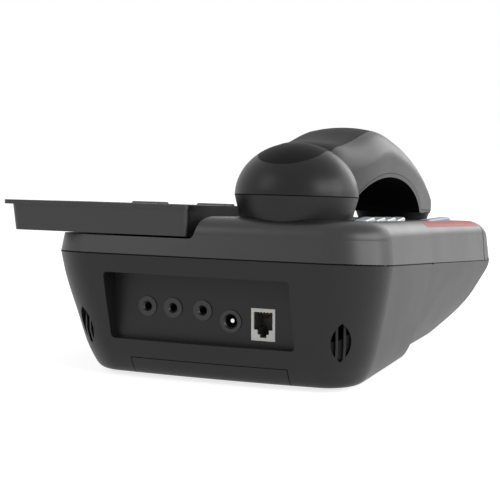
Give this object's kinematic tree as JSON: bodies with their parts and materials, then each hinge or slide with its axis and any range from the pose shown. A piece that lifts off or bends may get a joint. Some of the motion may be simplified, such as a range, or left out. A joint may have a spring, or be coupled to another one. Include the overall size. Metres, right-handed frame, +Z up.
{
  "type": "amplified corded desk telephone",
  "caption": "Corded desk telephone with a handset on an arched handle, tilting display, large keys, volume dial, tone slider and rear jacks.",
  "frame": {"origin": "on the table under the middle of the phone's outer box, level with the bottom of the feet", "axes": "+Z up, +Y out of the rear wall with the jacks, +X to the right of a person who sits at the front, where the keys and the display are; the handset lies on the -X side"},
  "size_m": [0.2012, 0.2608, 0.1259],
  "materials": {
    "shell_black": "fine satin texture",
    "face_black": "satin",
    "inlay_black": "smooth satin",
    "foot_rubber": "matt",
    "screw_steel": "plated",
    "cell_metal": "smooth",
    "contact_nickel": "plated",
    "contact_gold": "plated",
    "board_green": "solder mask",
    "part_metal": "satin",
    "jack_black": "satin",
    "jack_ivory": "smooth",
    "light_red": "translucent",
    "lens_glass": "clear window",
    "module_grey": "display face",
    "key_white": "smooth",
    "key_blue": "smooth"
  },
  "bodies": {
    "base": {"base_hull": "shell_black", "top_cover": "shell_black", "front_trim": "shell_black", "battery_cells": "cell_metal", "battery_contacts": "contact_nickel", "rubber_feet": "foot_rubber", "housing_screws": "screw_steel", "main_board": "board_green", "key_board": "board_green", "key_mat": "foot_rubber", "ringer_speaker": "part_metal", "bed_shaker_jack": "jack_black", "headset_jack": "jack_black", "neck_loop_jack": "jack_black", "power_jack": "jack_black", "power_jack_pin": "contact_nickel", "line_jack": "jack_ivory", "line_jack_contacts": "contact_gold", "handset_cord_jack": "jack_black", "light_bar": "light_red", "display_hinge_pins": "screw_steel"},
    "battery_door": {"battery_door": "shell_black"},
    "display": {"display_housing": "shell_black", "display_bezel": "shell_black", "display_module": "module_grey", "display_lens": "lens_glass"},
    "handset": {"handset_back": "shell_black", "handset_face": "face_black", "handset_inlay": "inlay_black", "receiver_speaker": "part_metal", "microphone": "part_metal", "handset_weight": "screw_steel", "handset_cord_socket": "jack_black", "handset_screws": "screw_steel"},
    "hook_plunger": {"hook_plunger": "face_black"},
    "volume_dial": {"volume_dial": "face_black"},
    "tone_slider": {"tone_slider": "face_black"},
    "number_key_1": {"number_key_1": "key_white"},
    "number_key_2": {"number_key_2": "key_white"},
    "number_key_3": {"number_key_3": "key_white"},
    "number_key_4": {"number_key_4": "key_white"},
    "number_key_5": {"number_key_5": "key_white"},
    "number_key_6": {"number_key_6": "key_white"},
    "number_key_7": {"number_key_7": "key_white"},
    "number_key_8": {"number_key_8": "key_white"},
    "number_key_9": {"number_key_9": "key_white"},
    "number_key_star": {"number_key_star": "key_white"},
    "number_key_0": {"number_key_0": "key_white"},
    "number_key_hash": {"number_key_hash": "key_white"},
    "redial_key": {"redial_key": "key_white"},
    "flash_key": {"flash_key": "key_white"},
    "hold_key": {"hold_key": "key_white"},
    "memory_key_1": {"memory_key_1": "key_white"},
    "memory_key_2": {"memory_key_2": "key_white"},
    "memory_key_3": {"memory_key_3": "key_white"},
    "memory_key_4": {"memory_key_4": "key_white"},
    "boost_key": {"boost_key": "key_blue"}
  },
  "joints": [
    {"name": "number_key_1_press", "type": "slide", "parent": "base", "child": "number_key_1", "axis": [0, 0.0785, -0.9969], "range_m": [0, 0.0016], "stiffness_N_per_m": 500, "springref_m": -0.0008},
    {"name": "number_key_2_press", "type": "slide", "parent": "base", "child": "number_key_2", "axis": [0, 0.0785, -0.9969], "range_m": [0, 0.0016], "stiffness_N_per_m": 500, "springref_m": -0.0008},
    {"name": "number_key_3_press", "type": "slide", "parent": "base", "child": "number_key_3", "axis": [0, 0.0785, -0.9969], "range_m": [0, 0.0016], "stiffness_N_per_m": 500, "springref_m": -0.0008},
    {"name": "number_key_4_press", "type": "slide", "parent": "base", "child": "number_key_4", "axis": [0, 0.0785, -0.9969], "range_m": [0, 0.0016], "stiffness_N_per_m": 500, "springref_m": -0.0008},
    {"name": "number_key_5_press", "type": "slide", "parent": "base", "child": "number_key_5", "axis": [0, 0.0785, -0.9969], "range_m": [0, 0.0016], "stiffness_N_per_m": 500, "springref_m": -0.0008},
    {"name": "number_key_6_press", "type": "slide", "parent": "base", "child": "number_key_6", "axis": [0, 0.0785, -0.9969], "range_m": [0, 0.0016], "stiffness_N_per_m": 500, "springref_m": -0.0008},
    {"name": "number_key_7_press", "type": "slide", "parent": "base", "child": "number_key_7", "axis": [0, 0.0785, -0.9969], "range_m": [0, 0.0016], "stiffness_N_per_m": 500, "springref_m": -0.0008},
    {"name": "number_key_8_press", "type": "slide", "parent": "base", "child": "number_key_8", "axis": [0, 0.0785, -0.9969], "range_m": [0, 0.0016], "stiffness_N_per_m": 500, "springref_m": -0.0008},
    {"name": "number_key_9_press", "type": "slide", "parent": "base", "child": "number_key_9", "axis": [0, 0.0785, -0.9969], "range_m": [0, 0.0016], "stiffness_N_per_m": 500, "springref_m": -0.0008},
    {"name": "number_key_star_press", "type": "slide", "parent": "base", "child": "number_key_star", "axis": [0, 0.0785, -0.9969], "range_m": [0, 0.0016], "stiffness_N_per_m": 500, "springref_m": -0.0008},
    {"name": "number_key_0_press", "type": "slide", "parent": "base", "child": "number_key_0", "axis": [0, 0.0785, -0.9969], "range_m": [0, 0.0016], "stiffness_N_per_m": 500, "springref_m": -0.0008},
    {"name": "number_key_hash_press", "type": "slide", "parent": "base", "child": "number_key_hash", "axis": [0, 0.0785, -0.9969], "range_m": [0, 0.0016], "stiffness_N_per_m": 500, "springref_m": -0.0008},
    {"name": "redial_key_press", "type": "slide", "parent": "base", "child": "redial_key", "axis": [0, 0.0785, -0.9969], "range_m": [0, 0.0016], "stiffness_N_per_m": 500, "springref_m": -0.0008},
    {"name": "flash_key_press", "type": "slide", "parent": "base", "child": "flash_key", "axis": [0, 0.0785, -0.9969], "range_m": [0, 0.0016], "stiffness_N_per_m": 500, "springref_m": -0.0008},
    {"name": "hold_key_press", "type": "slide", "parent": "base", "child": "hold_key", "axis": [0, 0.0785, -0.9969], "range_m": [0, 0.0016], "stiffness_N_per_m": 500, "springref_m": -0.0008},
    {"name": "memory_key_1_press", "type": "slide", "parent": "base", "child": "memory_key_1", "axis": [0, 0.0785, -0.9969], "range_m": [0, 0.0016], "stiffness_N_per_m": 500, "springref_m": -0.0008},
    {"name": "memory_key_2_press", "type": "slide", "parent": "base", "child": "memory_key_2", "axis": [0, 0.0785, -0.9969], "range_m": [0, 0.0016], "stiffness_N_per_m": 500, "springref_m": -0.0008},
    {"name": "memory_key_3_press", "type": "slide", "parent": "base", "child": "memory_key_3", "axis": [0, 0.0785, -0.9969], "range_m": [0, 0.0016], "stiffness_N_per_m": 500, "springref_m": -0.0008},
    {"name": "memory_key_4_press", "type": "slide", "parent": "base", "child": "memory_key_4", "axis": [0, 0.0785, -0.9969], "range_m": [0, 0.0016], "stiffness_N_per_m": 500, "springref_m": -0.0008},
    {"name": "boost_key_press", "type": "slide", "parent": "base", "child": "boost_key", "axis": [0, 0.0785, -0.9969], "range_m": [0, 0.0016], "stiffness_N_per_m": 500, "springref_m": -0.0008},
    {"name": "hook_plunger_press", "type": "slide", "parent": "base", "child": "hook_plunger", "axis": [0, 0.0785, -0.9969], "range_m": [0, 0.0016], "stiffness_N_per_m": 300, "springref_m": -0.001},
    {"name": "volume_dial_turn", "type": "hinge", "parent": "base", "child": "volume_dial", "pos_m": [0.0134, -0.07355, 0.06901], "axis": [0, -0.0785, 0.9969], "range_deg": [-135, 135]},
    {"name": "tone_slider_slide", "type": "slide", "parent": "base", "child": "tone_slider", "axis": [1, 0, 0], "range_m": [-0.01, 0.01]},
    {"name": "display_tilt", "type": "hinge", "parent": "base", "child": "display", "pos_m": [0.0374, 0.04663, 0.08168], "axis": [1, 0, 0], "range_deg": [0, 55]},
    {"name": "handset_lift", "type": "slide", "parent": "base", "child": "handset", "axis": [0, -0.0785, 0.9969], "range_m": [0, 0.12]},
    {"name": "battery_door_slide", "type": "slide", "parent": "base", "child": "battery_door", "axis": [0, 1, 0], "range_m": [0, 0.07]}
  ]
}
